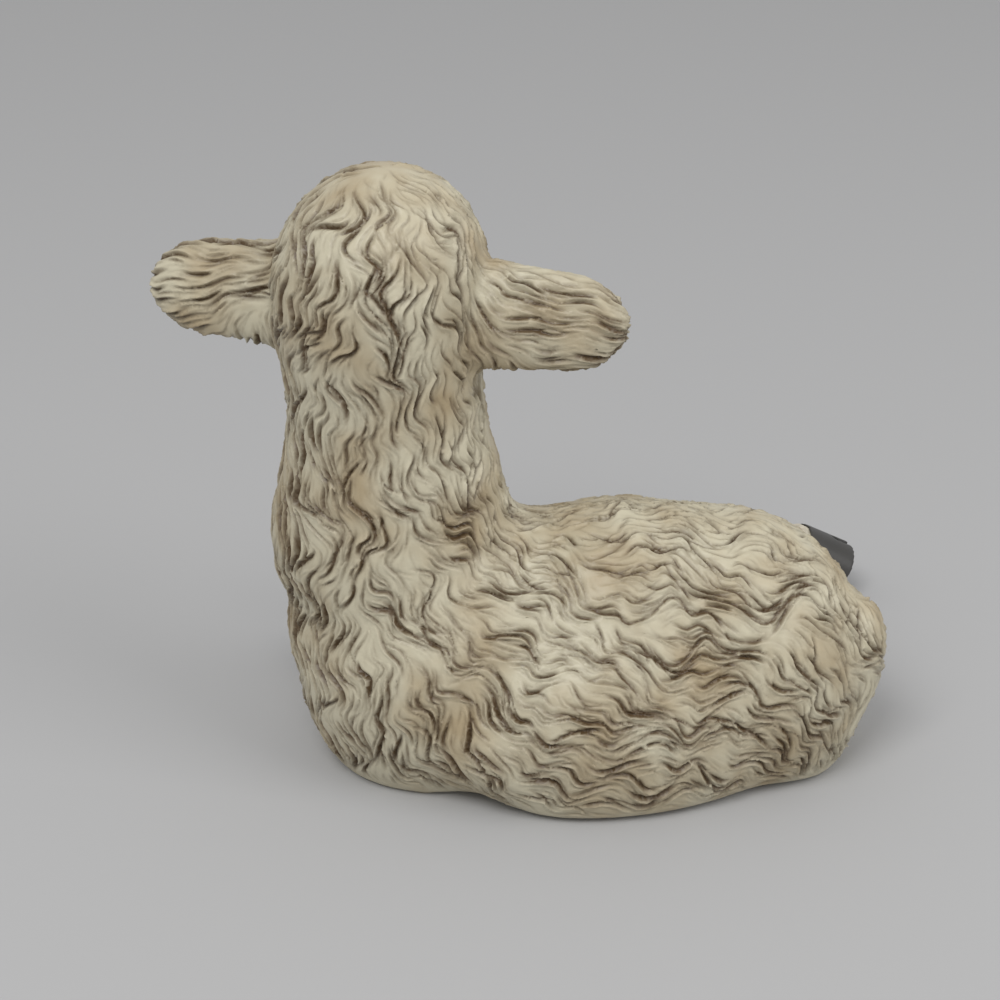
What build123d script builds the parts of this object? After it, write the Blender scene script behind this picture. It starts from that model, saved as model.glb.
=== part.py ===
from build123d import *

import os
from math import cos, pi, radians, sin

# A sheep figurine that lies on its folded legs and looks over its right side.
# It is cast in resin as separate pieces, which are keyed and glued together and then painted.
# Frame: +Z up, the table at Z = 0, +X from chest to rump, +Y to the side that the face looks to.
# The origin is on the table under the barrel. Sizes are in millimetres and angles in degrees.

# Trunk: three girths along the spine, closed by a rounded breast and a rounded rump
SHOULDER_X = -13.0
SHOULDER_HALF_WIDTH = 12.8
SHOULDER_TOP = 23.8
BARREL_BEHIND_SHOULDER = 16.0
BARREL_HALF_WIDTH = 13.4
BARREL_TOP = 24.2
HIP_BEHIND_BARREL = 12.0
HIP_HALF_WIDTH = 12.2
HIP_TOP = 23.4
BREAST_REACH = 12.7
BREAST_TIP_RISE = 1.0
RUMP_REACH = 12.8
RUMP_TIP_DROP = 1.0
BELLY_BELOW_TABLE = 6.0  # ground away to leave the flat base

# Haunches: the woolly thighs that lie against the trunk
HAUNCH_AHEAD_OF_HIP = 8.0
HAUNCH_SINK = 5.8  # how far its middle lies inside the flank
HAUNCH_Z = 6.0
HAUNCH_HALF_LENGTH = 16.5
HAUNCH_HALF_WIDTH = 8.0
HAUNCH_HALF_HEIGHT = 12.0
HAUNCH_SPLAY = 18.0

# Neck: girths from the root in the shoulders up to the throat
NECK_ROOT_Z = 10.0
NECK_ROOT_AHEAD = 2.0
NECK_ROOT_HALF_LENGTH = 9.6
NECK_ROOT_HALF_WIDTH = 8.5
COLLAR_RISE = 9.5
COLLAR_AHEAD = 2.6
COLLAR_HALF_LENGTH = 11.8
COLLAR_HALF_WIDTH = 10.0
NAPE_RISE = 8.5
NAPE_AHEAD = 3.7
NAPE_ASIDE = 0.4
NAPE_HALF_LENGTH = 10.0
NAPE_HALF_WIDTH = 9.3
THROAT_RISE = 10.0
THROAT_AHEAD = 4.3
THROAT_ASIDE = 0.8
THROAT_HALF_LENGTH = 8.9
THROAT_HALF_WIDTH = 9.2

# Head: the woolly hood above the neck seam
EAR_LINE_RISE = 8.0
HEAD_AHEAD = 4.4
HEAD_ASIDE = 1.0
HEAD_HALF_LENGTH = 9.5
HEAD_HALF_WIDTH = 10.0
CROWN_RISE = 10.2
CROWN_BACK = 0.6
SEAM_BELOW_EAR_LINE = 9.0
SEAM_TILT = 20.0
HEAD_TURN = 16.0  # from +Y towards +X

# Ears
EAR_DROP = 2.4
EAR_BACK = 0.4
EAR_SPAN = 22.4  # from the middle of the head to the tip
EAR_ROOT_AT = 6.0
EAR_ROOT_HALF_WIDTH = 3.3
EAR_ROOT_HALF_THICKNESS = 2.6
EAR_BLADE_FROM_TIP = 6.4
EAR_BLADE_HALF_WIDTH = 4.4
EAR_BLADE_HALF_THICKNESS = 2.1
EAR_LEAN = 18.0  # the back of the ear faces up by this much
EAR_CUP_FROM_TIP = 7.4
EAR_CUP_HALF_LENGTH = 6.0
EAR_CUP_HALF_WIDTH = 3.0
EAR_CUP_DEPTH = 1.3

# Face: a bare muzzle that looks out and down from the hood
FACE_RISE = 1.0  # its axis starts this much above the ear line
FACE_PITCH = 36.0
BROW_AT = 3.0
BROW_HALF_WIDTH = 6.2
BROW_HALF_DEPTH = 5.8
CHEEK_AT = 9.5
CHEEK_HALF_WIDTH = 5.8
CHEEK_HALF_DEPTH = 5.8
MUZZLE_AT = 15.0
MUZZLE_HALF_WIDTH = 4.4
MUZZLE_HALF_DEPTH = 4.6
NOSE_REACH = 7.6
NOSTRIL_RADIUS = 0.7
NOSTRIL_OUT = 1.5
NOSTRIL_UP = 1.2
NOSTRIL_DEPTH = 1.6
MOUTH_DROP = 1.7
MOUTH_LENGTH = 4.5
MOUTH_GAP = 0.5
EYE_RADIUS = 1.5
EYE_AT = 12.0
EYE_SLOPE = 32.0  # how far round from the side towards the forehead
EYE_SINK = 0.7

# Lower legs: a root in the body where it is needed, the bend and the fetlock, each as
# (behind, out, height) from the widest point of the right shoulder or the right hip
RIGHT_FORELEG = ((-4.2, -0.8, 3.6), (4.0, 5.8, 2.9))
LEFT_FORELEG = ((-8.5, -8.8, 3.8), (-10.4, 0.4, 2.9))
RIGHT_HIND_LEG = ((-11.0, -2.2, 5.0), (0.4, 10.4, 4.4), (8.8, 17.4, 3.9))
LEFT_HIND_LEG = ((-13.5, -2.6, 4.0), (-14.0, 6.8, 2.9))
LEG_ROOT_RADIUS = 3.2
LEG_BEND_RADIUS = 2.8
FETLOCK_RADIUS = 2.2
JOINT_SWELL = 0.15

# Hooves
RIGHT_FORE_TOE = (1.0, 0.25, 0.0)
LEFT_FORE_TOE = (0.12, 1.0, 0.0)
RIGHT_HIND_TOE = (1.0, 0.3, 0.05)
LEFT_HIND_TOE = (0.1, 1.0, 0.0)
HOOF_LENGTH = 5.8
HOOF_TOP_RADIUS = 2.5
HOOF_SOLE_HALF_WIDTH = 3.2
HOOF_SOLE_HALF_DEPTH = 3.0
CLEFT_WIDTH = 0.7
CLEFT_LENGTH = 2.4

# Tail
TAIL_Z = 9.6
TAIL_ASIDE = -1.4
TAIL_SINK = 1.6  # how far its middle lies inside the rump
TAIL_TILT = 6.0
TAIL_HALF_THICKNESS = 3.0
TAIL_HALF_WIDTH = 4.2
TAIL_HALF_LENGTH = 6.4

# Keys: round pins cast on one piece that seat in sockets in the next
KEY_CLEARANCE = 0.12
KEY_ROOT = 2.5  # how deep a pin is rooted in its own piece
NECK_KEY_RADIUS = 4.0
NECK_KEY_DEPTH = 8.0
HEAD_KEY_RADIUS = 3.2
HEAD_KEY_DEPTH = 4.0
FACE_KEY_RADIUS = 2.2
FACE_KEY_DEPTH = 4.0
EAR_KEY_RADIUS = 1.2
EAR_KEY_DEPTH = 3.5
LEG_KEY_RADIUS = 1.3
KNEE_KEY_DEPTH = 6.0
TAIL_KEY_RADIUS = 1.4
TAIL_KEY_DEPTH = 5.0
HAUNCH_KEY_RADIUS = 1.6
HAUNCH_KEY_DEPTH = 4.0
HAUNCH_KEY_ROOT = 1.2
HAUNCH_KEY_BEHIND = 3.0
HAUNCH_KEY_Z = 8.5

# Locks of wool: the main grooves of the carving on trunk and neck, cut in short strokes by a V-edged gouge
LOCK_SPACING = 3.7  # across the wool
LOCK_LENGTH = 5.6  # along the wool
LOCK_DEPTH = 0.45
LOCK_WAVE = 22.0  # how far the locks lean to either side in turn
LOCK_FALL = 0.35  # how far the locks of the trunk fall on their way to the rump, for each millimetre
GOUGE_RADIUS = 7.0  # of the curve that a stroke follows into the wool and out again
GOUGE_ARC = 42.0
GOUGE_EDGE = 1.1  # height of the V
GOUGE_STEEP_SIDE = 0.7
GOUGE_GENTLE_SIDE = 2.0
BASE_RIM = 3.4  # left plain above the table

DOME_ANGLES = (30.0, 55.0, 75.0)  # where a rounded end is sectioned
BLANK = 100.0  # a size beyond the whole figurine, for cutting tools
UP = Vector(0, 0, 1)
SPINE = Vector(1, 0, 0)
ASIDE = Vector(0, 1, 0)
FROM_START = (Align.CENTER, Align.CENTER, Align.MIN)


def girth(centre, across, facing, half_across, half_up):
    """An elliptical section of four quarter arcs, square to facing, with its first half-axis across."""
    quarters = [EllipticalCenterArc((0, 0), half_across, half_up, start) for start in (0, 90, 180, 270)]
    return Plane(origin=centre, x_dir=across, z_dir=facing) * make_face(quarters)


def dome(centre, across, facing, half_across, half_up, tip):
    """The sections of a rounded end, from its full girth at centre down to a point at tip."""
    sections = []
    for angle in DOME_ANGLES:
        middle = centre + (tip - centre) * sin(radians(angle))
        shrink = cos(radians(angle))
        sections.append(girth(middle, across, facing, half_across * shrink, half_up * shrink))
    return sections + [Vertex(*tip)]


def on_table(shape):
    """What is left of a shape when all below the table is ground away."""
    return shape - Pos(0, 0, -BLANK) * Box(2 * BLANK, 2 * BLANK, 2 * BLANK)


def seated(shape, *neighbours):
    """A shape cut to sit against the pieces that carry it."""
    for neighbour in neighbours:
        shape -= neighbour
    return shape


def key(start, end, radius):
    """A round pin from start to end, and the socket that takes it."""
    run = Vector(end) - Vector(start)
    seat = Plane(origin=start, z_dir=run)
    pin = seat * Cylinder(radius, run.length, align=FROM_START)
    socket = seat * Cylinder(radius + KEY_CLEARANCE, run.length + KEY_CLEARANCE, align=FROM_START)
    return pin, socket


# Trunk
barrel_x = SHOULDER_X + BARREL_BEHIND_SHOULDER
hip_x = barrel_x + HIP_BEHIND_BARREL
rump_x = hip_x + RUMP_REACH


def trunk_girth(x, half_width, top):
    half_height = (top + BELLY_BELOW_TABLE) / 2
    return Vector(x, 0, top - half_height), -UP, SPINE, half_height, half_width


shoulder = trunk_girth(SHOULDER_X, SHOULDER_HALF_WIDTH, SHOULDER_TOP)
barrel = trunk_girth(barrel_x, BARREL_HALF_WIDTH, BARREL_TOP)
hip = trunk_girth(hip_x, HIP_HALF_WIDTH, HIP_TOP)
breast_tip = shoulder[0] - SPINE * BREAST_REACH + UP * BREAST_TIP_RISE
rump_tip = hip[0] + SPINE * RUMP_REACH - UP * RUMP_TIP_DROP
breast_sections = dome(*shoulder, breast_tip)
rump_sections = dome(*hip, rump_tip)
trunk_sections = breast_sections[::-1] + [girth(*shoulder), girth(*barrel), girth(*hip)] + rump_sections
trunk = on_table(loft(trunk_sections))


# Haunches
haunch_x = hip_x - HAUNCH_AHEAD_OF_HIP
barrel_share = HAUNCH_AHEAD_OF_HIP / HIP_BEHIND_BARREL
flank_half_width = HIP_HALF_WIDTH + barrel_share * (BARREL_HALF_WIDTH - HIP_HALF_WIDTH)


def haunch(side):
    egg = scale(Sphere(1), by=(HAUNCH_HALF_LENGTH, HAUNCH_HALF_WIDTH, HAUNCH_HALF_HEIGHT))
    place = Pos(haunch_x, side * (flank_half_width - HAUNCH_SINK), HAUNCH_Z)
    return seated(on_table(place * Rot(0, 0, -side * HAUNCH_SPLAY) * egg), trunk)


def haunch_key(side):
    flank = Vector(haunch_x + HAUNCH_KEY_BEHIND, side * flank_half_width, HAUNCH_KEY_Z)
    inward = ASIDE * -side
    return key(flank - inward * HAUNCH_KEY_ROOT, flank + inward * HAUNCH_KEY_DEPTH, HAUNCH_KEY_RADIUS)


left_haunch = haunch(-1)
right_haunch = haunch(1)

# Neck and head, lofted as one and parted at a slanting seam under the jaw
collar_z = NECK_ROOT_Z + COLLAR_RISE
nape_z = collar_z + NAPE_RISE
throat_z = nape_z + THROAT_RISE
ear_line_z = throat_z + EAR_LINE_RISE


def neck_girth(ahead, aside, z, half_length, half_width):
    return Vector(SHOULDER_X - ahead, aside, z), SPINE, UP, half_length, half_width


neck_root = neck_girth(NECK_ROOT_AHEAD, 0, NECK_ROOT_Z, NECK_ROOT_HALF_LENGTH, NECK_ROOT_HALF_WIDTH)
collar = neck_girth(COLLAR_AHEAD, 0, collar_z, COLLAR_HALF_LENGTH, COLLAR_HALF_WIDTH)
nape = neck_girth(NAPE_AHEAD, NAPE_ASIDE, nape_z, NAPE_HALF_LENGTH, NAPE_HALF_WIDTH)
throat = neck_girth(THROAT_AHEAD, THROAT_ASIDE, throat_z, THROAT_HALF_LENGTH, THROAT_HALF_WIDTH)
ear_line = neck_girth(HEAD_AHEAD, HEAD_ASIDE, ear_line_z, HEAD_HALF_LENGTH, HEAD_HALF_WIDTH)
head_middle = ear_line[0]
crown_tip = head_middle + UP * CROWN_RISE + SPINE * CROWN_BACK
crown_sections = dome(*ear_line, crown_tip)
column = loft([girth(*section) for section in (neck_root, collar, nape, throat, ear_line)] + crown_sections)
seam = Plane(origin=head_middle - UP * SEAM_BELOW_EAR_LINE).rotated((-SEAM_TILT, 0, 0))
neck = seated(split(column, bisect_by=seam, keep=Keep.BOTTOM), trunk)
head = split(column, bisect_by=seam, keep=Keep.TOP)
neck_key_top = Vector(collar[0].X, 0, SHOULDER_TOP)
neck_pin, neck_socket = key(neck_key_top + UP * KEY_ROOT, neck_key_top - UP * NECK_KEY_DEPTH, NECK_KEY_RADIUS)
head_pin, head_socket = key(
    seam.origin - seam.z_dir * KEY_ROOT, seam.origin + seam.z_dir * HEAD_KEY_DEPTH, HEAD_KEY_RADIUS
)

# Ears
look = ASIDE.rotate(Axis.Z, -HEAD_TURN)
ear_out = SPINE.rotate(Axis.Z, -HEAD_TURN)
ear_middle = head_middle - UP * EAR_DROP + SPINE * EAR_BACK
ear_blade_at = EAR_SPAN - EAR_BLADE_FROM_TIP
ear_cup_at = EAR_SPAN - EAR_CUP_FROM_TIP


def ear(side):
    out = ear_out * side
    upright = UP.rotate(Axis((0, 0, 0), ear_out), -EAR_LEAN)
    root = girth(ear_middle + out * EAR_ROOT_AT, upright, out, EAR_ROOT_HALF_WIDTH, EAR_ROOT_HALF_THICKNESS)
    blade = (ear_middle + out * ear_blade_at, upright, out, EAR_BLADE_HALF_WIDTH, EAR_BLADE_HALF_THICKNESS)
    paddle = loft([root, girth(*blade)] + dome(*blade, ear_middle + out * EAR_SPAN))
    front = upright.cross(ear_out)
    cup_middle = ear_middle + out * ear_cup_at + front * EAR_BLADE_HALF_THICKNESS
    cup_radii = (EAR_CUP_HALF_WIDTH, EAR_CUP_HALF_LENGTH, EAR_CUP_DEPTH)
    cup = Plane(origin=cup_middle, x_dir=upright, z_dir=front) * scale(Sphere(1), by=cup_radii)
    return seated(paddle - cup, head, neck)


def ear_key(side):
    seat = ear_middle + ear_out * (side * HEAD_HALF_LENGTH)
    inward = ear_out * -side
    return key(seat - inward * KEY_ROOT, seat + inward * EAR_KEY_DEPTH, EAR_KEY_RADIUS)


left_ear = ear(-1)
right_ear = ear(1)

# Face
face_start = head_middle + UP * FACE_RISE
face_out = (look * cos(radians(FACE_PITCH)) - UP * sin(radians(FACE_PITCH))).normalized()
face_across = ear_out
face_up = face_across.cross(face_out)


def face_girth(at, half_width, half_depth):
    return face_start + face_out * at, face_across, face_out, half_width, half_depth


brow = face_girth(BROW_AT, BROW_HALF_WIDTH, BROW_HALF_DEPTH)
cheek = face_girth(CHEEK_AT, CHEEK_HALF_WIDTH, CHEEK_HALF_DEPTH)
muzzle = face_girth(MUZZLE_AT, MUZZLE_HALF_WIDTH, MUZZLE_HALF_DEPTH)
nose_tip = muzzle[0] + face_out * NOSE_REACH
face = loft([girth(*brow), girth(*cheek), girth(*muzzle)] + dome(*muzzle, nose_tip))
face = seated(face, head, neck)
face_seat = face_start + face_out * HEAD_HALF_WIDTH
face_key_end = face_seat - face_out * FACE_KEY_DEPTH
face_pin, face_socket = key(face_seat + face_out * KEY_ROOT, face_key_end, FACE_KEY_RADIUS)


# Eyes
def eye(side):
    share = (EYE_AT - CHEEK_AT) / (MUZZLE_AT - CHEEK_AT)
    half_width = CHEEK_HALF_WIDTH + share * (MUZZLE_HALF_WIDTH - CHEEK_HALF_WIDTH) - EYE_SINK
    half_depth = CHEEK_HALF_DEPTH + share * (MUZZLE_HALF_DEPTH - CHEEK_HALF_DEPTH) - EYE_SINK
    out = face_across * (side * half_width * cos(radians(EYE_SLOPE)))
    up = face_up * (half_depth * sin(radians(EYE_SLOPE)))
    return Pos(*(face_start + face_out * EYE_AT + out + up)) * Sphere(EYE_RADIUS)


left_eye = eye(-1)
right_eye = eye(1)
face = seated(face, left_eye, right_eye)

# Nostrils and mouth
for side in (-1, 1):
    nostril = nose_tip + face_across * (side * NOSTRIL_OUT) + face_up * NOSTRIL_UP
    face -= key(nostril, nostril - face_out * NOSTRIL_DEPTH, NOSTRIL_RADIUS)[0]
lips = Plane(origin=nose_tip - face_up * MOUTH_DROP, x_dir=face_across, z_dir=face_out)
face -= lips * Box(2 * MUZZLE_HALF_WIDTH, MOUTH_GAP, 2 * MOUTH_LENGTH)

# Lower legs
right_shoulder = Vector(SHOULDER_X, SHOULDER_HALF_WIDTH, 0)
right_hip = Vector(hip_x, HIP_HALF_WIDTH, 0)


def leg_points(anchor, offsets):
    return [anchor + Vector(offset) for offset in offsets]


def lower_leg(points, *neighbours):
    radii = (LEG_ROOT_RADIUS, LEG_BEND_RADIUS, FETLOCK_RADIUS)[-len(points):]
    shape = Part()
    for start, end, start_radius, end_radius in zip(points, points[1:], radii, radii[1:]):
        run = end - start
        axis = Plane(origin=start, x_dir=UP - run * (UP.dot(run) / run.dot(run)), z_dir=run)
        shape += axis * Sphere(start_radius + JOINT_SWELL)
        shape += axis * Cone(start_radius, end_radius, run.length, align=FROM_START)
        fetlock = axis.offset(run.length) * Sphere(end_radius + JOINT_SWELL)
    return seated(on_table(shape + fetlock), *neighbours)


right_fore_points = leg_points(right_shoulder, RIGHT_FORELEG)
left_fore_points = leg_points(right_shoulder, LEFT_FORELEG)
right_hind_points = leg_points(right_hip, RIGHT_HIND_LEG)
left_hind_points = leg_points(right_hip, LEFT_HIND_LEG)
right_foreleg = lower_leg(right_fore_points, trunk, neck)
left_foreleg = lower_leg(left_fore_points, trunk, neck, right_foreleg)
right_hind_leg = lower_leg(right_hind_points, trunk, right_haunch)
left_hind_leg = lower_leg(left_hind_points, trunk, right_haunch)


# Hooves, cupped to sit on the round end of each fetlock
def hoof(fetlock, toe, *neighbours):
    out = Vector(toe).normalized()
    across = UP.cross(out).normalized()
    end = fetlock + out * HOOF_LENGTH
    coronet = girth(fetlock, across, out, HOOF_TOP_RADIUS, HOOF_TOP_RADIUS)
    sole = girth(end, across, out, HOOF_SOLE_HALF_WIDTH, HOOF_SOLE_HALF_DEPTH)
    cleft = Plane(origin=end, x_dir=across, z_dir=out) * Box(CLEFT_WIDTH, BLANK, 2 * CLEFT_LENGTH)
    return seated(on_table(loft([coronet, sole])), cleft, *neighbours)


right_fore_hoof = hoof(right_fore_points[-1], RIGHT_FORE_TOE, right_foreleg, trunk)
left_fore_hoof = hoof(left_fore_points[-1], LEFT_FORE_TOE, left_foreleg, trunk)
right_hind_hoof = hoof(right_hind_points[-1], RIGHT_HIND_TOE, right_hind_leg, right_haunch)
left_hind_hoof = hoof(left_hind_points[-1], LEFT_HIND_TOE, left_hind_leg, right_haunch)

# Tail
tail_middle = Vector(rump_x - TAIL_SINK, TAIL_ASIDE, TAIL_Z)
tail_drop = scale(Sphere(1), by=(TAIL_HALF_THICKNESS, TAIL_HALF_WIDTH, TAIL_HALF_LENGTH))
tail = seated(on_table(Pos(*tail_middle) * Rot(0, TAIL_TILT, 0) * tail_drop), trunk)
tail_key_end = tail_middle - SPINE * TAIL_KEY_DEPTH
tail_pin, tail_socket = key(tail_middle + SPINE * TAIL_SINK, tail_key_end, TAIL_KEY_RADIUS)

# Locks of wool, carved in staggered rows round the trunk and the neck
def gouge():
    steep_side = (GOUGE_RADIUS - GOUGE_EDGE, -GOUGE_STEEP_SIDE)
    gentle_side = (GOUGE_RADIUS - GOUGE_EDGE, GOUGE_GENTLE_SIDE)
    edge = Plane.XZ * make_face(Polyline(steep_side, (GOUGE_RADIUS, 0), gentle_side, close=True))
    return Rot(0, 0, -GOUGE_ARC / 2) * revolve(edge, Axis.Z, GOUGE_ARC)


def within(point, box):
    return all(low < value < high for low, value, high in zip(box.min, point, box.max))


def carved(shape, starts, up, aside, radius, comb, covers):
    """A shape with rows of strokes all round it, apart from its base and where other pieces cover it."""
    count = round(2 * pi * radius / LOCK_SPACING)
    cover_boxes = [cover.bounding_box() for cover in covers]
    stroke = gouge()
    strokes = []
    for row, start in enumerate(starts):
        lean = LOCK_WAVE if row % 2 else -LOCK_WAVE
        for number in range(count):
            angle = radians(360 * (number + row % 2 / 2) / count)
            out = up * cos(angle) + aside * sin(angle)
            point, normal = shape.find_intersection_points(Axis(start, out))[-1]
            if point.Z < BASE_RIM or any(within(point, box) for box in cover_boxes):
                continue
            inward = normal if normal.dot(out) < 0 else -normal
            along = (comb - inward * comb.dot(inward)).rotate(Axis((0, 0, 0), inward), lean)
            middle = point - inward * (GOUGE_RADIUS - LOCK_DEPTH)
            strokes.append(Plane(origin=middle, x_dir=inward, z_dir=inward.cross(along)) * stroke)
    return shape - strokes


def rows(first, last):
    count = round((last - first).length / LOCK_LENGTH)
    return [first + (last - first) * (row / count) for row in range(count + 1)]


trunk_rows = rows(breast_tip + SPINE * LOCK_LENGTH, rump_tip - SPINE * LOCK_LENGTH)
legs = (right_foreleg, left_foreleg, right_hind_leg, left_hind_leg)
trunk_comb = SPINE - UP * LOCK_FALL
trunk_covers = (neck, left_haunch, right_haunch, tail, *legs)
trunk = carved(trunk, trunk_rows, UP, ASIDE, BARREL_HALF_WIDTH, trunk_comb, trunk_covers)
neck_rows = rows(collar[0], throat[0] - UP * LOCK_LENGTH)
neck = carved(neck, neck_rows, SPINE, ASIDE, NAPE_HALF_LENGTH, -UP, (left_ear, right_ear, face))

# Keys and sockets
neck += neck_pin
trunk -= neck_socket
neck += head_pin
head -= head_socket
face += face_pin
head -= face_socket
tail += tail_pin
trunk -= tail_socket
left_ear_pin, left_ear_socket = ear_key(-1)
left_ear += left_ear_pin
head -= left_ear_socket
right_ear_pin, right_ear_socket = ear_key(1)
right_ear += right_ear_pin
head -= right_ear_socket
left_haunch_pin, left_haunch_socket = haunch_key(-1)
left_haunch += left_haunch_pin
trunk -= left_haunch_socket
right_haunch_pin, right_haunch_socket = haunch_key(1)
right_haunch += right_haunch_pin
trunk -= right_haunch_socket
knee = right_fore_points[0]
right_fore_pin, right_fore_socket = key(knee, knee - ASIDE * KNEE_KEY_DEPTH, LEG_KEY_RADIUS)
right_foreleg += right_fore_pin
trunk -= right_fore_socket
left_fore_pin, left_fore_socket = key(left_fore_points[1], left_fore_points[0], LEG_KEY_RADIUS)
left_foreleg += left_fore_pin
trunk -= left_fore_socket
right_hind_pin, right_hind_socket = key(right_hind_points[1], right_hind_points[0], LEG_KEY_RADIUS)
right_hind_leg += right_hind_pin
right_haunch -= right_hind_socket
trunk -= right_hind_socket
left_hind_pin, left_hind_socket = key(left_hind_points[1], left_hind_points[0], LEG_KEY_RADIUS)
left_hind_leg += left_hind_pin
right_haunch -= left_hind_socket
trunk -= left_hind_socket

pieces = {
    "body": trunk,
    "left_haunch": left_haunch,
    "right_haunch": right_haunch,
    "neck": neck,
    "head": head,
    "left_ear": left_ear,
    "right_ear": right_ear,
    "face": face,
    "left_eye": left_eye,
    "right_eye": right_eye,
    "left_foreleg": left_foreleg,
    "right_foreleg": right_foreleg,
    "left_hind_leg": left_hind_leg,
    "right_hind_leg": right_hind_leg,
    "left_fore_hoof": left_fore_hoof,
    "right_fore_hoof": right_fore_hoof,
    "left_hind_hoof": left_hind_hoof,
    "right_hind_hoof": right_hind_hoof,
    "tail": tail,
}
os.makedirs("parts", exist_ok=True)
for name, piece in pieces.items():
    export_step(piece, f"parts/{name}.step")
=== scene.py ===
import math
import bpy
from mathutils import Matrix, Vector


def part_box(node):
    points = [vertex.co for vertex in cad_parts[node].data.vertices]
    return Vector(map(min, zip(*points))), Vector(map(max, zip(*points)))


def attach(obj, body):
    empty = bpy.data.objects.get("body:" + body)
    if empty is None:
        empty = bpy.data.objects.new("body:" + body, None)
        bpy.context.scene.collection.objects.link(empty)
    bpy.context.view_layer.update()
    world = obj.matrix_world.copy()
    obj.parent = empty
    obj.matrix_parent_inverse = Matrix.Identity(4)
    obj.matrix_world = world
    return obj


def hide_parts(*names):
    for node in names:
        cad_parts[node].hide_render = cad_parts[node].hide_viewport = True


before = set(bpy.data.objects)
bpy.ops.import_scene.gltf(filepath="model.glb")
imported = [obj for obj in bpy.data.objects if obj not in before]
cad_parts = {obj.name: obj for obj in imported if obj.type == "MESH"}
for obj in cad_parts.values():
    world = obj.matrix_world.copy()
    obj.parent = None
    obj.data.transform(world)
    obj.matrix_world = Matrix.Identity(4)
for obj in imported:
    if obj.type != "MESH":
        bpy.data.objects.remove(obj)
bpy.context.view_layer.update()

from types import SimpleNamespace

import bmesh
import bpy
import numpy as np
from mathutils import Vector, noise
from mathutils.bvhtree import BVHTree
from mathutils.kdtree import KDTree

# Wool blank: the body, haunches, neck, head, ears and tail are resin castings, pinned and glued.
# The seams between them were filled on the master before it was carved, so the wool runs over them.
# Their solids are joined into one skin here, which is carved and then parted into castings again.
MM = 0.001
WOOLLY_CASTINGS = ("body", "left_haunch", "right_haunch", "neck", "head", "left_ear", "right_ear", "tail")
MERGE_DISTANCE = 0.001 * MM
BLANK_VOXEL = 0.44 * MM
BLANK_SMOOTHING_PASSES = 14
SMOOTHING_FACTOR = 0.5
SEAM_FILLING_PASSES = 140
SEAM_REACH = 6 * MM
SEAMS_LEFT_CRISP = ("head", "left_ear", "right_ear")
SKIN_SUBDIVISIONS = 2
# Hollows at the breast and before the haunches are filled: casting, point of its box, reach, thickness.
FILLINGS = (
    ("body", (-1.0, 0.0, 0.2), 7 * MM, 1.3 * MM),
    ("left_haunch", (-1.0, -0.1, -0.4), 6 * MM, 1.4 * MM),
    ("right_haunch", (-1.0, 0.1, -0.4), 6 * MM, 1.4 * MM),
)


def new_piece(name, mesh):
    piece = bpy.data.objects.new(name, mesh)
    bpy.context.scene.collection.objects.link(piece)
    return piece


def joined_solids(name, nodes):
    """A new piece with the merged meshes of these nodes."""
    blank = bmesh.new()
    for node in nodes:
        blank.from_mesh(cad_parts[node].data)
    bmesh.ops.remove_doubles(blank, verts=blank.verts, dist=MERGE_DISTANCE)
    mesh = bpy.data.meshes.new(name)
    blank.to_mesh(mesh)
    blank.free()
    return new_piece(name, mesh)


def work_in_modifiers(piece):
    """Makes what the modifiers show the mesh of the piece."""
    shown = piece.evaluated_get(bpy.context.evaluated_depsgraph_get())
    mesh = bpy.data.meshes.new_from_object(shown)
    piece.modifiers.clear()
    piece.data = mesh


def remesh(piece, voxel):
    skin = piece.modifiers.new("even skin", "REMESH")
    skin.mode = "VOXEL"
    skin.voxel_size = voxel
    work_in_modifiers(piece)


def smooth(piece, passes, group=""):
    filling = piece.modifiers.new("filled seams", "SMOOTH")
    filling.factor = SMOOTHING_FACTOR
    filling.iterations = passes
    filling.vertex_group = group
    work_in_modifiers(piece)


wool = joined_solids("wool", WOOLLY_CASTINGS)
remesh(wool, BLANK_VOXEL)
smooth(wool, BLANK_SMOOTHING_PASSES)


def vertex_array(mesh):
    values = np.empty(len(mesh.vertices) * 3, np.float32)
    mesh.vertices.foreach_get("co", values)
    return values.reshape(-1, 3).astype(float)


def surface_tree(node):
    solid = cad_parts[node].data
    corners = [tuple(face.vertices) for face in solid.polygons]
    return BVHTree.FromPolygons([vertex.co for vertex in solid.vertices], corners)


def distances_to(nodes, places):
    """For each place a row with its distance to the surface of each node."""
    trees = [surface_tree(node) for node in nodes]
    return np.array([[tree.find_nearest(place)[3] for tree in trees] for place in places.tolist()])


# The seams are where a second casting is near.
gaps = distances_to(WOOLLY_CASTINGS, vertex_array(wool.data))
crisp = [WOOLLY_CASTINGS.index(casting) for casting in SEAMS_LEFT_CRISP]
gaps[:, crisp] = SEAM_REACH
second_gaps = np.sort(gaps, axis=1)[:, 1]
seam_group = wool.vertex_groups.new(name="seams")
for index, gap in enumerate(second_gaps.tolist()):
    seam_group.add([index], max(0.0, 1 - gap / SEAM_REACH), "REPLACE")
smooth(wool, SEAM_FILLING_PASSES, "seams")
wool.vertex_groups.clear()


def normal_array(mesh):
    values = np.empty(len(mesh.vertices) * 3, np.float32)
    mesh.vertex_normals.foreach_get("vector", values)
    return values.reshape(-1, 3).astype(float)


def move_vertices(mesh, places):
    mesh.vertices.foreach_set("co", places.astype(np.float32).ravel())
    mesh.update()


def box_point(node, share):
    """A point of a node's box, which runs from -1 to 1 each way."""
    low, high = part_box(node)
    middle = (low + high) / 2
    half = (high - low) / 2
    return [middle[axis] + half[axis] * share[axis] for axis in range(3)]


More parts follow.
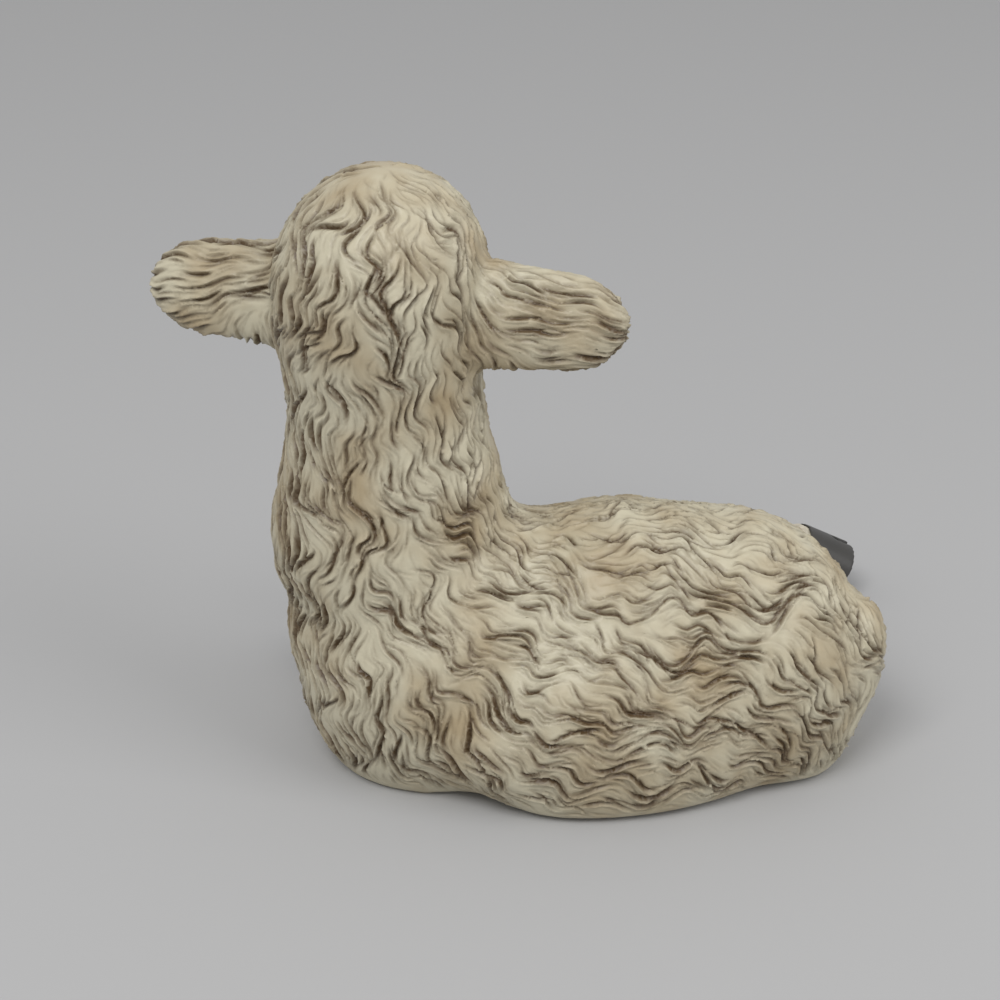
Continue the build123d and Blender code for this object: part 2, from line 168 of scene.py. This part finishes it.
blank_places = vertex_array(wool.data)
blank_normals = normal_array(wool.data)
for node, share, reach, thickness in FILLINGS:
    gaps = np.linalg.norm(blank_places - box_point(node, share), axis=1)
    filling = (1 - (gaps / reach) ** 2).clip(0, 1) ** 2
    blank_places += blank_normals * (thickness * filling)[:, None]
blank_places[:, 2] = blank_places[:, 2].clip(0, None)
move_vertices(wool.data, blank_places)
blank_normals = normal_array(wool.data)


def edge_array(mesh):
    """The indices of the first and of the second vertex of every edge."""
    values = np.empty(len(mesh.edges) * 2, np.int32)
    mesh.edges.foreach_get("vertices", values)
    return values.reshape(-1, 2).T


tails, heads = edge_array(wool.data)


def subdivide(piece, levels):
    finer = piece.modifiers.new("finer skin", "SUBSURF")
    finer.levels = levels
    finer.render_levels = levels
    work_in_modifiers(piece)


# Each face of the blank is marked with the casting that it belongs to.
for casting in WOOLLY_CASTINGS:
    wool.data.materials.append(bpy.data.materials.new(casting + " mark"))
middles = np.array([tuple(face.center) for face in wool.data.polygons])
owners = np.argmin(distances_to(WOOLLY_CASTINGS, middles), axis=1)
wool.data.polygons.foreach_set("material_index", owners.astype(np.int32))
subdivide(wool, SKIN_SUBDIVISIONS)
skin_places = vertex_array(wool.data)
skin_normals = normal_array(wool.data)

# Combing: the fleece lies down the head and neck, along the back and flanks, and outwards on the ears.
# Its way is given at points of a casting's box, which runs from -1 to 1 each way, and turns smoothly between.
# The points of the left side are repeated on the right.
COMBING = (
    ("head", (0.1, -0.9, 0.55), (0.0, -0.6, -1.0)),
    ("head", (-0.7, -0.5, 0.5), (-0.8, -0.2, -1.0)),
    ("head", (0.8, -0.5, 0.5), (0.8, -0.2, -1.0)),
    ("head", (0.0, -1.0, -0.3), (0.0, 0.0, -1.0)),
    ("head", (-1.0, -0.1, -0.4), (-0.1, 0.0, -1.0)),
    ("head", (1.0, -0.1, -0.4), (0.2, 0.0, -1.0)),
    ("neck", (0.0, -1.0, 0.6), (0.05, 0.0, -1.0)),
    ("neck", (-0.9, -0.2, 0.4), (0.0, 0.0, -1.0)),
    ("neck", (0.7, -0.3, 0.4), (0.15, 0.0, -1.0)),
    ("neck", (-0.3, -1.0, -0.2), (0.1, 0.0, -1.0)),
    ("neck", (0.5, -0.9, -0.2), (0.5, 0.0, -1.0)),
    ("neck", (-1.0, 0.0, -0.4), (0.0, 0.0, -1.0)),
    ("body", (-0.95, -0.4, -0.1), (0.05, -0.2, -1.0)),
    ("body", (-0.8, -0.8, -0.2), (0.3, 0.0, -1.0)),
    ("body", (-0.5, -1.0, 0.1), (0.8, 0.0, -1.0)),
    ("body", (-0.5, -1.0, -0.6), (0.8, 0.0, -0.7)),
    ("body", (-0.2, -0.8, 0.6), (1.0, 0.0, -0.4)),
    ("body", (-0.1, 0.0, 1.0), (1.0, 0.0, 0.1)),
    ("body", (0.3, 0.0, 1.0), (1.0, 0.0, -0.05)),
    ("body", (0.25, -0.9, 0.5), (1.0, 0.0, -0.3)),
    ("left_haunch", (0.0, -1.0, 0.2), (1.0, 0.0, -0.35)),
    ("left_haunch", (-0.5, -1.0, -0.5), (1.0, 0.0, -0.6)),
    ("left_haunch", (0.7, -0.8, -0.5), (1.0, 0.1, -0.2)),
    ("body", (0.65, -0.7, 0.6), (1.0, 0.0, -0.5)),
    ("body", (0.75, 0.0, 0.9), (1.0, 0.0, -0.5)),
    ("body", (0.95, -0.3, 0.2), (0.3, 0.0, -1.0)),
    ("body", (0.8, -0.7, -0.3), (0.6, 0.4, -0.8)),
    ("tail", (1.0, 0.0, 0.3), (0.2, 0.0, -1.0)),
    ("tail", (1.0, -0.8, -0.4), (-0.3, 0.3, -1.0)),
)
EAR_WAYS = (("left_ear", (-0.96, 0.28, -0.05)), ("right_ear", (0.96, -0.28, -0.1)))
EAR_STATIONS = (-0.6, -0.1, 0.4, 0.9)
COMB_BLUR = 1.5 * MM
COMB_STRAY = math.radians(55)
STRAY_PATCH = 5 * MM
WAVE_SWING = math.radians(40)
EAR_WAVE_SWING = math.radians(13)
WAVE_LENGTH = 5.4 * MM
WAVE_PATCH = 3.5 * MM
WAVE_PATCH_SHIFT = 3.2
LENGTH_PASSES = 500
NEVER_NIL = 1e-9

comb_places = []
comb_ways = []
comb_swings = []
for node, share, way in COMBING:
    x, y, z = box_point(node, share)
    for side in (1, -1):
        comb_places.append((x, y * side, z))
        comb_ways.append((way[0], way[1] * side, way[2]))
        comb_swings.append(WAVE_SWING)
for node, way in EAR_WAYS:
    for station in EAR_STATIONS:
        along_ear = [station * math.copysign(1, part) for part in way[:2]]
        comb_places.append(box_point(node, (*along_ear, 0)))
        comb_ways.append(way)
        comb_swings.append(EAR_WAVE_SWING)
comb_places = np.array(comb_places)
comb_ways = np.array(comb_ways)
comb_ways /= np.linalg.norm(comb_ways, axis=1, keepdims=True)


def dot(a, b):
    return np.sum(a * b, axis=1)


def patchy(patch):
    """A smooth random value from about -1 to 1 at each point of the blank, in patches of this size."""
    return np.array([noise.noise(Vector(place) / patch) for place in blank_places.tolist()])


offsets = blank_places[:, None, :] - comb_places[None, :, :]
weights = 1 / (np.sum(offsets**2, axis=2) + COMB_BLUR**2) ** 2
weights /= weights.sum(axis=1, keepdims=True)
blank_ways = weights @ comb_ways
blank_ways -= blank_normals * dot(blank_ways, blank_normals)[:, None]
blank_ways /= np.linalg.norm(blank_ways, axis=1, keepdims=True) + NEVER_NIL
blank_swings = weights @ np.array(comb_swings)
strays = patchy(STRAY_PATCH) * (COMB_STRAY * blank_swings / WAVE_SWING)
sideways = np.cross(blank_normals, blank_ways)
blank_ways = blank_ways * np.cos(strays)[:, None] + sideways * np.sin(strays)[:, None]


def outflow(slopes):
    """For each point of the blank the sum of the slopes of its edges."""
    return np.bincount(heads, slopes, len(blank_places)) - np.bincount(tails, slopes, len(blank_places))


# The length along the wool is found for each point, so that the waves of neighbouring locks nest.
# It is the one whose slope along the edges comes nearest to the way of the wool, by conjugate gradients.
lengths = np.zeros(len(blank_places))
edge_ways = (blank_ways[heads] + blank_ways[tails]) / 2
residual = outflow(dot(edge_ways, blank_places[heads] - blank_places[tails]))
search = residual.copy()
for length_pass in range(LENGTH_PASSES):
    pull = outflow(search[heads] - search[tails])
    stride = (residual @ residual) / (search @ pull)
    lengths += stride * search
    rest = residual - stride * pull
    search = rest + search * (rest @ rest) / (residual @ residual)
    residual = rest
blank_phases = math.tau * lengths / WAVE_LENGTH + patchy(WAVE_PATCH) * WAVE_PATCH_SHIFT

# Gouge strokes: the carver's gouge follows the wool in short waves, each a little unlike the next.
# It leaves a groove with one steep side, one gentle side and a raised lip, which fades out at both ends.
# Locks are cut first, strands between them next and single hairs last. A rim at the foot stays smooth.
LOCKS = SimpleNamespace(
    tries=40000, apart_along=3.4 * MM, apart_across=1.0 * MM, shortest=2.6 * MM, longest=7.0 * MM,
    shallowest=0.3, steep_width=0.16 * MM, gentle_width=0.55 * MM, lip_width=0.36 * MM,
    depth=0.66 * MM, lip_share=0.45, wash_share=1.7, seed=11,
)
STRANDS = SimpleNamespace(
    tries=40000, apart_along=2.4 * MM, apart_across=0.46 * MM, shortest=2.0 * MM, longest=5.5 * MM,
    shallowest=0.2, steep_width=0.13 * MM, gentle_width=0.32 * MM, lip_width=0.26 * MM,
    depth=0.34 * MM, lip_share=0.5, wash_share=1.0, seed=13,
)
HAIRS = SimpleNamespace(
    tries=50000, apart_along=1.6 * MM, apart_across=0.36 * MM, shortest=1.4 * MM, longest=4.0 * MM,
    shallowest=0.3, steep_width=0.13 * MM, gentle_width=0.2 * MM, lip_width=0.2 * MM,
    depth=0.12 * MM, lip_share=0.4, wash_share=0.4, seed=15,
)
STROKE_STEP = 0.12 * MM
PHASE_SPREAD = 0.5
LEAST_SWING = 0.6
MOST_SWING = 1.25
TAPER_POWER = 0.8
BED_SHARE = 1.6
RIM_LOW = 0.6 * MM
RIM_HIGH = 2.2 * MM
RUBBING_PASSES = 5
RUBBING = 0.06
BURR_HEIGHT = 0.2 * MM
HOOD_RISE = 0.7 * MM
HOOD_WIDTH = 1.5 * MM
HOOD_REACH = 2 * HOOD_WIDTH
FLAT_FOOT = 0.1 * MM


def scattered(kind):
    """Starts of strokes, scattered on the blank so that none crowds another along or across the wool."""
    order = np.random.default_rng(kind.seed).permutation(len(blank_places))[:kind.tries]
    kept = []
    cells = {}
    for index in order.tolist():
        place = blank_places[index]
        cell = tuple((place // kind.apart_along).astype(int))
        crowded = False
        for dx in (-1, 0, 1):
            for dy in (-1, 0, 1):
                for dz in (-1, 0, 1):
                    for other in cells.get((cell[0] + dx, cell[1] + dy, cell[2] + dz), ()):
                        gap = blank_places[other] - place
                        along = gap @ blank_ways[index]
                        across_squared = gap @ gap - along * along
                        ellipse = (along / kind.apart_along) ** 2 + across_squared / kind.apart_across**2
                        crowded = crowded or ellipse < 1
        if not crowded:
            kept.append(index)
            cells.setdefault(cell, []).append(index)
    return np.array(kept)


def lookup_tree(places):
    tree = KDTree(len(places))
    for index, place in enumerate(places.tolist()):
        tree.insert(place, index)
    tree.balance()
    return tree


def nearest(tree, places):
    """The index of the tree's point that is nearest to each place."""
    return np.array([tree.find(place)[1] for place in places.tolist()])


blank_tree = lookup_tree(blank_places)


def gouged(kind, starts):
    """The points of every stroke: place, normal, heading and depth share, which is nil at both ends."""
    draw = np.random.default_rng(kind.seed + 1)
    steps = draw.uniform(kind.shortest / STROKE_STEP, kind.longest / STROKE_STEP, len(starts)).astype(int)
    bites = draw.uniform(kind.shallowest, 1.0, len(starts))
    phases = draw.normal(0, PHASE_SPREAD, len(starts))
    swings = draw.uniform(LEAST_SWING, MOST_SWING, len(starts))
    places = blank_places[starts]
    found = []
    for step in range(steps.max()):
        near = nearest(blank_tree, places)
        normals = blank_normals[near]
        ways = blank_ways[near]
        offsets = places - blank_places[near]
        places = places - normals * dot(offsets, normals)[:, None]
        waves = blank_phases[near] + math.tau * dot(offsets, ways) / WAVE_LENGTH
        angles = swings * blank_swings[near] * np.sin(phases + waves)
        headings = ways * np.cos(angles)[:, None] + np.cross(normals, ways) * np.sin(angles)[:, None]
        going = step < steps
        taper = np.sin(math.pi * ((step + 0.5) / steps).clip(0, 1)) ** TAPER_POWER * bites
        found.append(np.column_stack((places, normals, headings, taper))[going])
        places = places + headings * STROKE_STEP
    return np.concatenate(found)


def grooves(kind, strokes):
    """For each point of the skin, from 0 to 1: the bite of the nearest stroke there, its lip and its bed."""
    near = strokes[nearest(lookup_tree(strokes[:, 0:3]), skin_places)]
    places, normals, headings, shares = np.split(near, (3, 6, 9), axis=1)
    share = shares[:, 0]
    offsets = skin_places - places
    across = dot(offsets, np.cross(normals, headings))
    distance = np.sqrt(across**2 + dot(offsets, headings) ** 2)
    steep = across < 0
    width = np.where(steep, kind.steep_width, kind.gentle_width)
    bite = share * (1 - distance / width).clip(0, 1) ** 2
    over_lip = ((distance - kind.steep_width / 2) / kind.lip_width).clip(0, 1)
    lip = share * np.sin(math.pi * over_lip) ** 2 * steep
    bed = share * (1 - distance / (BED_SHARE * kind.steep_width)).clip(0, 1)
    return bite, lip, bed


relief = np.zeros(len(skin_places))
wash = np.zeros(len(skin_places))
for kind in (LOCKS, STRANDS, HAIRS):
    bite, lip, bed = grooves(kind, gouged(kind, scattered(kind)))
    relief += kind.depth * (kind.lip_share * lip - bite)
    wash += kind.wash_share * bed

# The edges of the strokes are rubbed down a little and burrs are taken off.
firsts, seconds = edge_array(wool.data)
points = len(relief)
neighbours = np.bincount(firsts, minlength=points) + np.bincount(seconds, minlength=points)
for rubbing_pass in range(RUBBING_PASSES):
    around = np.bincount(firsts, relief[seconds], points) + np.bincount(seconds, relief[firsts], points)
    around /= neighbours
    rubbed = (1 - RUBBING) * relief + RUBBING * around
    relief = np.where(np.abs(relief - around) > BURR_HEIGHT, around, rubbed)

# The wool swells where it frames the bare face.
face_low, face_high = np.array(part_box("face"))
past_low = skin_places > face_low - HOOD_REACH
past_high = skin_places < face_high + HOOD_REACH
by_face = np.all(past_low & past_high, axis=1)
face_gaps = distances_to(["face"], skin_places[by_face])[:, 0]
relief[by_face] += HOOD_RISE * np.exp(-((face_gaps / HOOD_WIDTH) ** 2))
carved = ((skin_places[:, 2] - RIM_LOW) / (RIM_HIGH - RIM_LOW)).clip(0, 1)
skin_places += skin_normals * (relief * carved)[:, None]
skin_places[:, 2] = np.where(skin_places[:, 2] < FLAT_FOOT, 0, skin_places[:, 2])
move_vertices(wool.data, skin_places)

# Fleece paint: warm off-white over the resin, yellowed in clouds, with a fine grain from the mould.
# A thin brown wash was brushed on and wiped off again, so that it stays in the grooves.
CREAM = (0.55, 0.505, 0.375)
YELLOWED_CREAM = (0.39, 0.31, 0.19)
BROWN_WASH = (0.095, 0.058, 0.026)
FLEECE_ROUGHNESS = 0.45
CLOUD_SCALE = 150
CLOUD_DETAIL = 3
CLOUDS_BEGIN = 0.42
CLOUDS_FULL = 0.72
GRAIN_SCALE = 4000
GRAIN_STRENGTH = 0.35
GRAIN_HEIGHT = 0.05 * MM


def store(mesh, name, values):
    mesh.attributes.new(name, "FLOAT", "POINT").data.foreach_set("value", values.astype(np.float32))


def painted(name, paint, aged_paint, wash_colour, roughness):
    """A paint that ages in clouds, with a second colour where the wash attribute says."""
    finish = bpy.data.materials.new(name)
    finish.use_nodes = True
    nodes = finish.node_tree.nodes
    links = finish.node_tree.links
    shader = nodes["Principled BSDF"]
    shader.inputs["Roughness"].default_value = roughness
    place = nodes.new("ShaderNodeTexCoord")
    clouds = nodes.new("ShaderNodeTexNoise")
    clouds.inputs["Scale"].default_value = CLOUD_SCALE
    clouds.inputs["Detail"].default_value = CLOUD_DETAIL
    links.new(place.outputs["Object"], clouds.inputs["Vector"])
    aged = nodes.new("ShaderNodeMapRange")
    aged.inputs["From Min"].default_value = CLOUDS_BEGIN
    aged.inputs["From Max"].default_value = CLOUDS_FULL
    links.new(clouds.outputs["Fac"], aged.inputs["Value"])
    ground = nodes.new("ShaderNodeMix")
    ground.data_type = "RGBA"
    ground.inputs["A"].default_value = (*paint, 1)
    ground.inputs["B"].default_value = (*aged_paint, 1)
    links.new(aged.outputs["Result"], ground.inputs["Factor"])
    groove_wash = nodes.new("ShaderNodeAttribute")
    groove_wash.attribute_name = "wash"
    washed = nodes.new("ShaderNodeMix")
    washed.data_type = "RGBA"
    washed.inputs["B"].default_value = (*wash_colour, 1)
    links.new(ground.outputs["Result"], washed.inputs["A"])
    links.new(groove_wash.outputs["Fac"], washed.inputs["Factor"])
    links.new(washed.outputs["Result"], shader.inputs["Base Color"])
    grain = nodes.new("ShaderNodeTexNoise")
    grain.inputs["Scale"].default_value = GRAIN_SCALE
    links.new(place.outputs["Object"], grain.inputs["Vector"])
    bump = nodes.new("ShaderNodeBump")
    bump.inputs["Strength"].default_value = GRAIN_STRENGTH
    bump.inputs["Distance"].default_value = GRAIN_HEIGHT
    links.new(grain.outputs["Fac"], bump.inputs["Height"])
    links.new(bump.outputs["Normal"], shader.inputs["Normal"])
    return finish


store(wool.data, "wash", (carved * wash).clip(0, 1))
fleece_paint = painted("fleece paint", CREAM, YELLOWED_CREAM, BROWN_WASH, FLEECE_ROUGHNESS)

# Castings: the carved skin is parted along the seams into the resin castings that it was cast as.
# Each is closed behind its seams, where its pins and sockets meet the next casting.
SEAM_DEPTH = 0.8 * MM
CASTING_TRIANGLES = 190000


def close_behind_seams(mesh):
    """Draws the open rims of a casting inwards and fills them."""
    skin = bmesh.new()
    skin.from_mesh(mesh)
    outward = skin.verts.layers.float_vector["outward"]
    rim = [edge for edge in skin.edges if edge.is_boundary]
    for edge in rim:
        edge.smooth = False
    grown = bmesh.ops.extrude_edge_only(skin, edges=rim)["geom"]
    for part in grown:
        if isinstance(part, bmesh.types.BMVert):
            part.co -= part[outward].normalized() * SEAM_DEPTH
    bmesh.ops.holes_fill(skin, edges=[edge for edge in skin.edges if edge.is_boundary], sides=0)
    bmesh.ops.recalc_face_normals(skin, faces=skin.faces)
    skin.to_mesh(mesh)
    skin.free()


def finished(piece, paint, slot, *nodes):
    """A piece with smooth shading and its paint, hung under the root body; the nodes that it stands for are
    hidden.
    """
    piece.data.materials.clear()
    piece.data.materials.append(paint)
    piece.data.polygons.foreach_set("use_smooth", [True] * len(piece.data.polygons))
    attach(piece, "root")
    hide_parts(*nodes)


outward = wool.data.attributes.new("outward", "FLOAT_VECTOR", "POINT")
outward.data.foreach_set("vector", skin_normals.astype(np.float32).ravel())
owners = np.empty(len(wool.data.polygons), np.int32)
wool.data.polygons.foreach_get("material_index", owners)
thinner = wool.modifiers.new("thinner skin", "DECIMATE")
thinner.ratio = CASTING_TRIANGLES / (2 * np.bincount(owners).max())
work_in_modifiers(wool)
bpy.ops.object.select_all(action="DESELECT")
wool.select_set(True)
bpy.context.view_layer.objects.active = wool
bpy.ops.object.mode_set(mode="EDIT")
bpy.ops.mesh.separate(type="MATERIAL")
bpy.ops.object.mode_set(mode="OBJECT")
for piece in list(bpy.context.selected_objects):
    casting = piece.data.materials[0].name.removesuffix(" mark")
    piece.name = casting + "_wool"
    close_behind_seams(piece.data)
    finished(piece, fleece_paint, "fleece", casting)

# Face: a resin muzzle with lids, nostrils and mouth, let into the woolly hood and glued.
# Short hair was scratched into it. The wash stays in its hollows and tints the nose leather.
FACE_VOXEL = 0.2 * MM
FACE_SMOOTHING_PASSES = 4
FACE_SUBDIVISIONS = 1
LID_RISE = 0.35 * MM
LID_WIDTH = 0.32 * MM
LID_PLACE = 1.08
LEATHER_REACH = 3.4 * MM
LEATHER_WASH = 0.4
SHORT_HAIR_DEPTH = 0.13 * MM
SHORT_HAIR_WIDTH = 0.5 * MM
SHORT_HAIR_LENGTH = 2.6 * MM
SHORT_HAIR_WASH = 0.7
HOLLOW_PASSES = 120
FULL_HOLLOW = 0.2 * MM
FACE_HOLLOW_WASH = 0.9
PALE_SKIN = (0.64, 0.59, 0.47)
AGED_SKIN = (0.52, 0.45, 0.34)
SKIN_WASH = (0.10, 0.06, 0.03)
SKIN_ROUGHNESS = 0.5


def hollows(piece):
    """For each vertex how deep it lies below the surface round it, from 0 to 1."""
    places = vertex_array(piece.data)
    normals = normal_array(piece.data)
    even = new_piece("even", piece.data.copy())
    smooth(even, HOLLOW_PASSES)
    depth = dot(vertex_array(even.data) - places, normals)
    bpy.data.objects.remove(even)
    return (depth / FULL_HOLLOW).clip(0, 1)


def ruffled(piece):
    """Ruffles a skin with short hair along its longest way, and tells how deep each vertex lies in it."""
    places = vertex_array(piece.data)
    longest = np.linalg.svd(places - places.mean(axis=0), full_matrices=False)[2][0]
    along = (places @ longest) * (1 / SHORT_HAIR_LENGTH - 1 / SHORT_HAIR_WIDTH)
    stretched = places / SHORT_HAIR_WIDTH + along[:, None] * longest
    ruffle = np.array([noise.noise(Vector(place)) for place in stretched.tolist()])
    move_vertices(piece.data, places + normal_array(piece.data) * (SHORT_HAIR_DEPTH * ruffle)[:, None])
    return (-ruffle).clip(0, 1)


face = joined_solids("face_skin", ["face"])
remesh(face, FACE_VOXEL)
smooth(face, FACE_SMOOTHING_PASSES)
subdivide(face, FACE_SUBDIVISIONS)
places = vertex_array(face.data)
normals = normal_array(face.data)
for node in ("left_eye", "right_eye"):
    low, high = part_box(node)
    eye_radius = (high.x - low.x) / 2
    from_eye = np.linalg.norm(places - np.array((low + high) / 2), axis=1)
    lid = np.exp(-(((from_eye - LID_PLACE * eye_radius) / LID_WIDTH) ** 2))
    places += normals * (LID_RISE * lid)[:, None]
move_vertices(face.data, places)
nose = places[np.argmax(places[:, 1])]
leather = np.exp(-((np.linalg.norm(places - nose, axis=1) / LEATHER_REACH) ** 2))
face_wash = np.maximum(FACE_HOLLOW_WASH * hollows(face), LEATHER_WASH * leather)
store(face.data, "wash", (face_wash + SHORT_HAIR_WASH * ruffled(face)).clip(0, 1))
skin_paint = painted("skin paint", PALE_SKIN, AGED_SKIN, SKIN_WASH, SKIN_ROUGHNESS)
finished(face, skin_paint, "bare_skin", "face")

# Eyes: small resin beads that sit in sockets in the face, inside the lids.
# They are painted near-black under a clear gloss.
EYE_VOXEL = 0.12 * MM
EYE_SMOOTHING_PASSES = 6
NEAR_BLACK = (0.012, 0.01, 0.008)
BROWN_BLACK = (0.03, 0.02, 0.012)
DEEP_BLACK = (0.01, 0.01, 0.01)
EYE_ROUGHNESS = 0.1
eye_paint = painted("eye paint", NEAR_BLACK, BROWN_BLACK, DEEP_BLACK, EYE_ROUGHNESS)
for node in ("left_eye", "right_eye"):
    eye = joined_solids(node + "_bead", [node])
    remesh(eye, EYE_VOXEL)
    smooth(eye, EYE_SMOOTHING_PASSES)
    finished(eye, eye_paint, "eyes", node)

# Lower legs: resin legs with a fetlock and short hair, pinned into the body and painted as the face is.
# The right hind leg is stretched out, rises towards its hoof and lets the toe hang.
LEG_VOXEL = 0.3 * MM
LEG_SMOOTHING_PASSES = 8
LEG_SUBDIVISIONS = 1
LEG_HOLLOW_WASH = 0.8
HOOF_PITCH = math.radians(37)
HOOF_LIFT = 0.1 * MM
STRETCHED_TOE = (1.0, 0.3, 0.0)
BEND_START = 10 * MM


def toe_hanging(places):
    """These places turned about the middle of the right hind hoof until its toe points down."""
    hoof_low, hoof_high = np.array(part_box("right_hind_hoof"))
    middle = (hoof_low + hoof_high) / 2
    out = np.array(STRETCHED_TOE) / np.linalg.norm(STRETCHED_TOE)
    along = (places - middle) @ out
    up = places[:, 2] - middle[2]
    turned = places + (along * (math.cos(HOOF_PITCH) - 1) + up * math.sin(HOOF_PITCH))[:, None] * out
    turned[:, 2] = middle[2] + HOOF_LIFT + up * math.cos(HOOF_PITCH) - along * math.sin(HOOF_PITCH)
    turned[:, 2] = turned[:, 2].clip(0, None)
    return turned


for node in ("left_foreleg", "right_foreleg", "left_hind_leg", "right_hind_leg"):
    leg = joined_solids(node + "_skin", [node])
    remesh(leg, LEG_VOXEL)
    smooth(leg, LEG_SMOOTHING_PASSES)
    subdivide(leg, LEG_SUBDIVISIONS)
    if node == "right_hind_leg":
        places = vertex_array(leg.data)
        bend_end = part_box("right_hind_hoof")[0].x
        bent = ((places[:, 0] - BEND_START) / (bend_end - BEND_START)).clip(0, 1) ** 2
        move_vertices(leg.data, places + (toe_hanging(places) - places) * bent[:, None])
    leg_wash = LEG_HOLLOW_WASH * hollows(leg)
    store(leg.data, "wash", (leg_wash + SHORT_HAIR_WASH * ruffled(leg)).clip(0, 1))
    finished(leg, skin_paint, "bare_skin", node)

# Hooves: cloven resin hooves, glued on the ends of the legs and painted dark grey.
# The paint has come off in a few small chips, which show the pale resin.
HOOF_VOXEL = 0.16 * MM
HOOF_SMOOTHING_PASSES = 3
CHIPS = 5
CHIP_RADIUS = 0.26 * MM
CHIP_SEED = 21
DARK_GREY = (0.045, 0.043, 0.04)
RUBBED_GREY = (0.03, 0.029, 0.028)
PALE_RESIN = (0.45, 0.44, 0.4)
HOOF_ROUGHNESS = 0.4
hoof_paint = painted("hoof paint", DARK_GREY, RUBBED_GREY, PALE_RESIN, HOOF_ROUGHNESS)
chip_draw = np.random.default_rng(CHIP_SEED)
for node in ("left_fore_hoof", "right_fore_hoof", "left_hind_hoof", "right_hind_hoof"):
    hoof = joined_solids(node + "_horn", [node])
    remesh(hoof, HOOF_VOXEL)
    smooth(hoof, HOOF_SMOOTHING_PASSES)
    if node == "right_hind_hoof":
        move_vertices(hoof.data, toe_hanging(vertex_array(hoof.data)))
    places = vertex_array(hoof.data)
    chips = places[chip_draw.integers(len(places), size=CHIPS)]
    chip_gaps = np.linalg.norm(places[:, None, :] - chips[None, :, :], axis=2).min(axis=1)
    store(hoof.data, "wash", chip_gaps < CHIP_RADIUS)
    finished(hoof, hoof_paint, "hooves", node)

# Studio: a plain pale floor of matte card under even light from all sides.
# A soft key lamp stands at the left and in front, and a weaker fill lamp at the right.
VIEW_TARGET = Vector((-6.8, 0, 25)) * MM
VIEW_DISTANCE = 220 * MM
VIEW_ELEVATION = math.radians(25)
PHOTO_FOCAL_PIXELS = 2420
PHOTO_PIXELS = 1000
SENSOR_WIDTH = 36
NEAREST_SEEN = 10 * MM
FLOOR_HALF_SIDE = 3
PALE_CARD = (0.43, 0.43, 0.433, 1)
CARD_ROUGHNESS = 0.9
KEY_PLACE = (-0.15, -0.28, 0.46)
KEY_SIZE = 0.25
KEY_POWER = 1.3
FILL_PLACE = (0.35, -0.2, 0.3)
FILL_SIZE = 0.3
FILL_POWER = 0.7
WHITE = (1, 1, 1, 1)
EVEN_LIGHT = 0.6
camera = bpy.data.cameras.new("camera")
camera.sensor_width = SENSOR_WIDTH
camera.lens = SENSOR_WIDTH * PHOTO_FOCAL_PIXELS / PHOTO_PIXELS
camera.clip_start = NEAREST_SEEN
viewer = bpy.data.objects.new("camera", camera)
bpy.context.scene.collection.objects.link(viewer)
back = Vector((0, -math.cos(VIEW_ELEVATION), math.sin(VIEW_ELEVATION)))
viewer.location = VIEW_TARGET + back * VIEW_DISTANCE
viewer.rotation_mode = "QUATERNION"
viewer.rotation_quaternion = (-back).to_track_quat("-Z", "Y")
bpy.context.scene.camera = viewer

slab = bmesh.new()
bmesh.ops.create_grid(slab, x_segments=1, y_segments=1, size=FLOOR_HALF_SIDE)
floor_mesh = bpy.data.meshes.new("floor")
slab.to_mesh(floor_mesh)
slab.free()
floor = new_piece("floor", floor_mesh)
card = bpy.data.materials.new("floor card")
card.use_nodes = True
card_shader = card.node_tree.nodes["Principled BSDF"]
card_shader.inputs["Base Color"].default_value = PALE_CARD
card_shader.inputs["Roughness"].default_value = CARD_ROUGHNESS
floor_mesh.materials.append(card)


def soft_lamp(name, place, size, power):
    lamp = bpy.data.lights.new(name, "AREA")
    lamp.size = size
    lamp.energy = power
    holder = bpy.data.objects.new(name, lamp)
    holder.location = place
    holder.rotation_mode = "QUATERNION"
    holder.rotation_quaternion = (VIEW_TARGET - Vector(place)).to_track_quat("-Z", "Y")
    bpy.context.scene.collection.objects.link(holder)


soft_lamp("key", KEY_PLACE, KEY_SIZE, KEY_POWER)
soft_lamp("fill", FILL_PLACE, FILL_SIZE, FILL_POWER)
world = bpy.data.worlds.new("studio")
world.use_nodes = True
sky = world.node_tree.nodes["Background"]
sky.inputs["Strength"].default_value = EVEN_LIGHT
sky.inputs["Color"].default_value = WHITE
bpy.context.scene.world = world
bpy.context.scene.view_settings.view_transform = "Standard"
